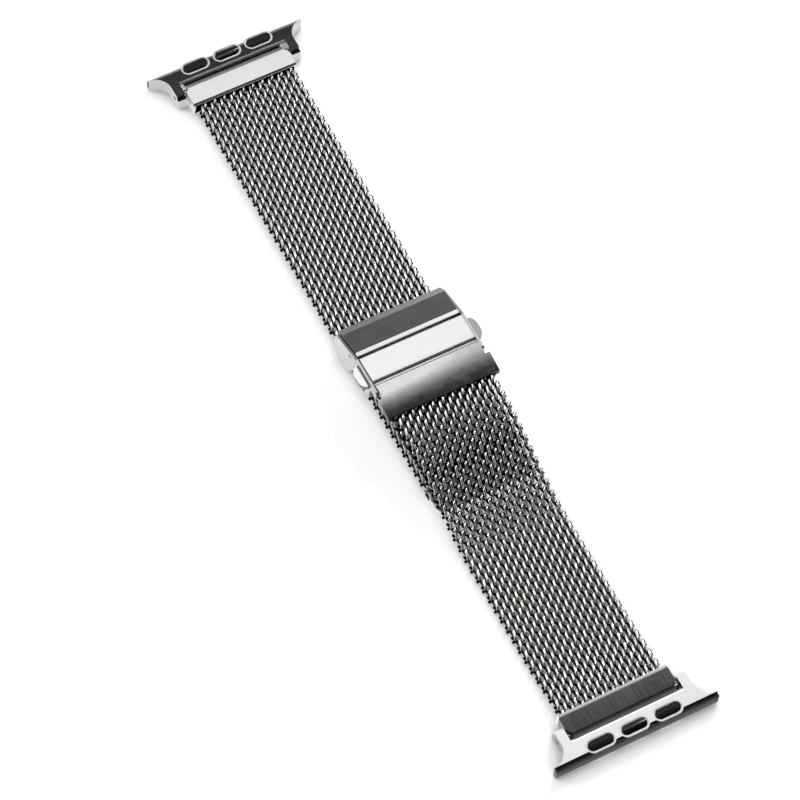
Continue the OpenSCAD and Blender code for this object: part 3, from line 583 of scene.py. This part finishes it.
def weave_halves(mat):
    """Both halves, each cut where a stiff length of the mesh ends."""
    up_1, up_2, up_3 = UPPER_BENDS
    low_0, low_1, low_2, low_3 = LOWER_BENDS
    # name, first and last row, the bodies on both sides of its bend, the bend's row, and its solids
    upper = (
        ("weave_slider", 0, 26, "slider", None, None, "slider_mesh"),
        ("weave_upper_1", 27, 42, "slider", "upper_mesh_a", up_1, "upper_mesh_a"),
        ("weave_upper_2", 43, 58, "upper_mesh_a", "upper_mesh_b", up_2, "upper_mesh_b"),
        ("weave_upper_3", 59, 85, "upper_mesh_b", "upper_end", up_3, "upper_mesh_end"),
    )
    lower = (
        ("weave_lower_0", 0, 14, "cover", "lower_mesh_a", low_0, "lower_mesh_root"),
        ("weave_lower_1", 15, 30, "lower_mesh_a", "lower_mesh_b", low_1, "lower_mesh_a"),
        ("weave_lower_2", 31, 43, "lower_mesh_b", "lower_mesh_c", low_2, "lower_mesh_b"),
        ("weave_lower_3", 44, 62, "lower_mesh_c", "lower_end", low_3, "lower_mesh_c", "lower_mesh_end"),
    )
    for path, lengths in ((upper_rows, upper), (lower_rows, lower)):
        for name, first, last, near_body, far_body, bend, *solids in lengths:
            piece = weave(name, path, first, last, mat)
            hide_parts(*solids)
            if bend is None:
                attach(piece, near_body)
                continue
            reach = SHORT_REACH if name == "weave_upper_1" else BEND_REACH
            start = row_place(path, bend - min(reach, bend))
            end = row_place(path, bend + reach)
            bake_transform(piece)


# Rigid pieces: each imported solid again, with its edges broken and its finish on

SHARP = math.radians(32)  # an edge that turns more than this is broken
LEVEL = math.radians(0.5)  # faces that differ less than this are one


def solid_shape(node, slim):
    """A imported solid's mesh with its flat faces whole, and slimmer about its axis across the band."""
    bm = bmesh.new()
    bm.from_mesh(frame["nodes"][node].data)
    bmesh.ops.remove_doubles(bm, verts=bm.verts, dist=1e-6)
    bmesh.ops.dissolve_limit(bm, angle_limit=LEVEL, verts=bm.verts, edges=bm.edges)
    low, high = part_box(node)
    middle = (Vector(low) + Vector(high)) / 2
    for vert in bm.verts:
        vert.co.y = middle.y + (vert.co.y - middle.y) * slim
        vert.co.z = middle.z + (vert.co.z - middle.z) * slim
    mesh = bpy.data.meshes.new(node + "_shape")
    bm.to_mesh(mesh)
    bm.free()
    mesh.polygons.foreach_set("use_smooth", [True] * len(mesh.polygons))
    mesh.set_sharp_from_angle(angle=SHARP)
    return mesh


def break_edges(piece, width, segments):
    """Makes a narrow round on a piece's edges part of its mesh."""
    mod = piece.modifiers.new("edges", "BEVEL")
    mod.width = width * MM
    mod.segments = segments
    mod.limit_method = "ANGLE"
    mod.angle_limit = SHARP
    mod.use_clamp_overlap = True
    even = piece.modifiers.new("even", "WEIGHTED_NORMAL")
    even.keep_sharp = True
    shown = piece.evaluated_get(bpy.context.evaluated_depsgraph_get())
    mesh = bpy.data.meshes.new_from_object(shown)
    piece.modifiers.clear()
    piece.data = mesh


def dress(node, mat, bevel=0.06, segments=2, between=None, slim=1.0):
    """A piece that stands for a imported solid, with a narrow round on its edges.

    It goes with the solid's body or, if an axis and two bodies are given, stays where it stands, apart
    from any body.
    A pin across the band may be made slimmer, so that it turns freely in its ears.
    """
    piece = new_object(node + "_piece", solid_shape(node, slim))
    if bevel:
        break_edges(piece, bevel, segments)
    piece.data.materials.clear()
    piece.data.materials.append(mat)
    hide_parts(node)
    for row in frame["record"]["subparts"]:
        row["node"] == node
    if between:
        axis, near_body, far_body = between
        low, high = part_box(node)
        start, end = Vector(low), Vector(low)
        end[axis] = high[axis]
        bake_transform(piece)
    else:
        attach(piece, frame["nodes"][node]["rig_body"])


def paint(node, mat):
    """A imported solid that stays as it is, in its finish."""
    slots = frame["nodes"][node].data.materials
    slots.clear()
    slots.append(mat)


# All pieces in their finishes

steel_wire = wire("steel_wire", 0.95, 0.3, 0.04)
clasp_steel = brushed("clasp_steel", 0.50, 0.68, 0.30)
# the end cover carries painted shade
cover_steel = brushed("cover_steel", 0.62, 0.85, 0.30, along="Y", painted_light=cover_painted_shade)
# the flap's dark steel is painted shade, where its face reflects no lamp
flap_steel = brushed("flap_steel", 0.17, 0.28, 0.34, painted_light=flap_highlights)
# the lower cap's dark steel is painted shade, with painted highlights along its sides
lower_cap_steel = brushed(
    "lower_cap_steel", 0.06, 0.36, 0.24, along="Y", camber=0.08, painted_light=lower_cap_highlights
)
upper_cap_steel = brushed("upper_cap_steel", 0.74, 0.82, 0.24, depth=0.15, camber=0.08)
adapter_steel = polished("adapter_steel", 0.78, 0.11)
# the upper adapter's dark top and dark outer foot are painted shade, its bright sides and outer top
# painted light
upper_adapter_steel = adapter(
    "upper_adapter_steel", way=1, top=0.16, side=0.6, strip_highlight=1,
    outer=((0.0, 0.05), (0.6, 0.04), (0.78, 0.2), (0.9, 0.9), (1.0, 0.95)),
)
# the lower adapter's bright outer foot is a painted highlight, its dark sides and outer face painted
# shade
lower_adapter_steel = adapter(
    "lower_adapter_steel", way=-1, top=0.78, side=0.26, strip_highlight=0,
    outer=((0.0, 0.6), (0.1, 0.3), (0.25, 0.12), (0.7, 0.08), (1.0, 0.12)),
)
plate_steel = brushed("plate_steel", 0.80, 0.88, 0.22, depth=0.2, painted_light=plate_painted_shade)
button_left_steel = button_painted_shade("button_left_steel", 0.85, 0.2)
# the right button's darker tones are painted shade
button_right_steel = button_painted_shade("button_right_steel", 0.36, 0.12)
mirror_steel = polished("mirror_steel", 0.85, 0.16)
pin_steel = polished("pin_steel", 0.72, 0.16)
spring_steel = polished("spring_steel", 0.55, 0.25)
pad_rubber = rubber("pad_rubber")
latch_steel = polished("latch_steel", 0.06, 0.18)

weave_halves(steel_wire)

for node in ("lock_box", "button_frame", "folding_arm", "strap_anchor"):
    dress(node, clasp_steel)
dress("end_cover", cover_steel, 0.15, 3)
dress("lock_flap", flap_steel)
dress("strap_tip", mirror_steel)
dress("cover_plate", plate_steel)
dress("button_left", button_left_steel, 0.14, 3)
dress("button_right", button_right_steel, 0.14, 3)
for node in ("frame_rivets", "flap_pin", "arm_pin"):
    dress(node, pin_steel, 0.04)
dress("cover_pin", pin_steel, 0.04, slim=0.97)
ends = {
    "upper": (upper_cap_steel, upper_adapter_steel),
    "lower": (lower_cap_steel, lower_adapter_steel),
}
for end, (cap, lug) in ends.items():
    dress(end + "_end_cap", cap, 0.25, 3)
    dress(end + "_adapter", lug)
    dress(end + "_latch", latch_steel, 0.05)
    dress(end + "_pads", pad_rubber, 0.05)
    dress(end + "_latch_plate", adapter_steel, 0.04)
    dress(end + "_bar_tube", pin_steel, 0.03)
    dress(end + "_bar_tips", pin_steel, 0.03)
dress("button_spring_left", spring_steel, 0, between=(0, "button_left", "clasp_base"))
dress("button_spring_right", spring_steel, 0, between=(0, "clasp_base", "button_right"))
for end in ends:
    paint(end + "_bar_spring", spring_steel)
    dress(end + "_latch_spring", spring_steel, 0, between=(2, end + "_adapter", end + "_latch"))


# Floor, room and light

GLOW = 0.7  # what the floor gives off where it is seen
# the reach of the painted contact shadow, within which the floor's glow is darker
SHADE_REACH = 4  # millimetres round the band in which the floor is darker


def make_floor():
    """A pale floor that shows white to the camera and in the metal, keeps the shadow, and has a painted
    contact shadow near the band.
    """
    half = 3.0
    mesh = bpy.data.meshes.new("floor")
    corners = [(-half, -half, 0), (half, -half, 0), (half, half, 0), (-half, half, 0)]
    mesh.from_pydata(corners, [], [(0, 1, 2, 3)])
    floor = new_object("floor", mesh)
    floor.location.z = -0.02 * MM
    mat, t, shader = material(
        "floor_paper", Roughness=0.8, Specular_IOR_Level=0.2, Emission_Color=(1, 1, 1, 1)
    )
    grain = t.noise(t.place((0.02, 0.02, 0.02)), 1.0, 2.0)
    t.feed(shader.inputs["Base Color"], t.blend(grain, (0.92, 0.92, 0.91, 1), (0.94, 0.94, 0.93, 1)))
    path = mat.node_tree.nodes.new("ShaderNodeLightPath")
    # painted contact shadow: the floor's glow dims close to the band
    open_sky = t.add("ShaderNodeAmbientOcclusion", {"samples": 8}, {"Distance": SHADE_REACH * MM}, out=1)
    seen = Socket(t, path.outputs["Is Camera Ray"]) * t.ramp(open_sky, (0.3, 0.15), (0.8, 1.0))
    seen = t.math("MAXIMUM", seen, Socket(t, path.outputs["Is Glossy Ray"]))
    t.feed(shader.inputs["Emission Strength"], seen * GLOW)
    mesh.materials.append(mat)


def make_world():
    """A pale room, dark overhead and a little darker in front than behind."""
    world = bpy.data.worlds.new("room")
    scene.world = world
    world.use_nodes = True
    t = Tree(world.node_tree)
    back = world.node_tree.nodes["Background"]
    facing = t.add("ShaderNodeTexCoord", out=0)
    rise = t.ramp(t.split(facing, 2), (0.0, 0.9), (0.25, 0.75), (0.5, 0.3), (0.62, 0.1), (1.0, 0.07))
    side = t.ramp(t.split(facing, 1) * 0.5 + 0.5, (0.3, 0.5), (0.65, 1.0))
    t.feed(back.inputs["Color"], rise * side)


make_camera()
make_floor()
make_world()
# place, target and size in metres, and watts
soft_box("overhead", (0.13, 0.25, 0.6), (0.13, 0.25, 0), (0.4, 0.36), 0.36)
soft_box("overhead_middle", (0.1, 0.24, 0.59), (0.1, 0.24, 0), (0.24, 0.22), 0.05)
soft_box("right_back", (0.62, 0.45, 0.64), (0, 0, 0), (0.25, 0.25), 2.6)
soft_box("left_back", (-0.6, 0.55, 0.5), (0, 0, 0), (0.25, 0.25), 1.2)

bpy.context.view_layer.update()
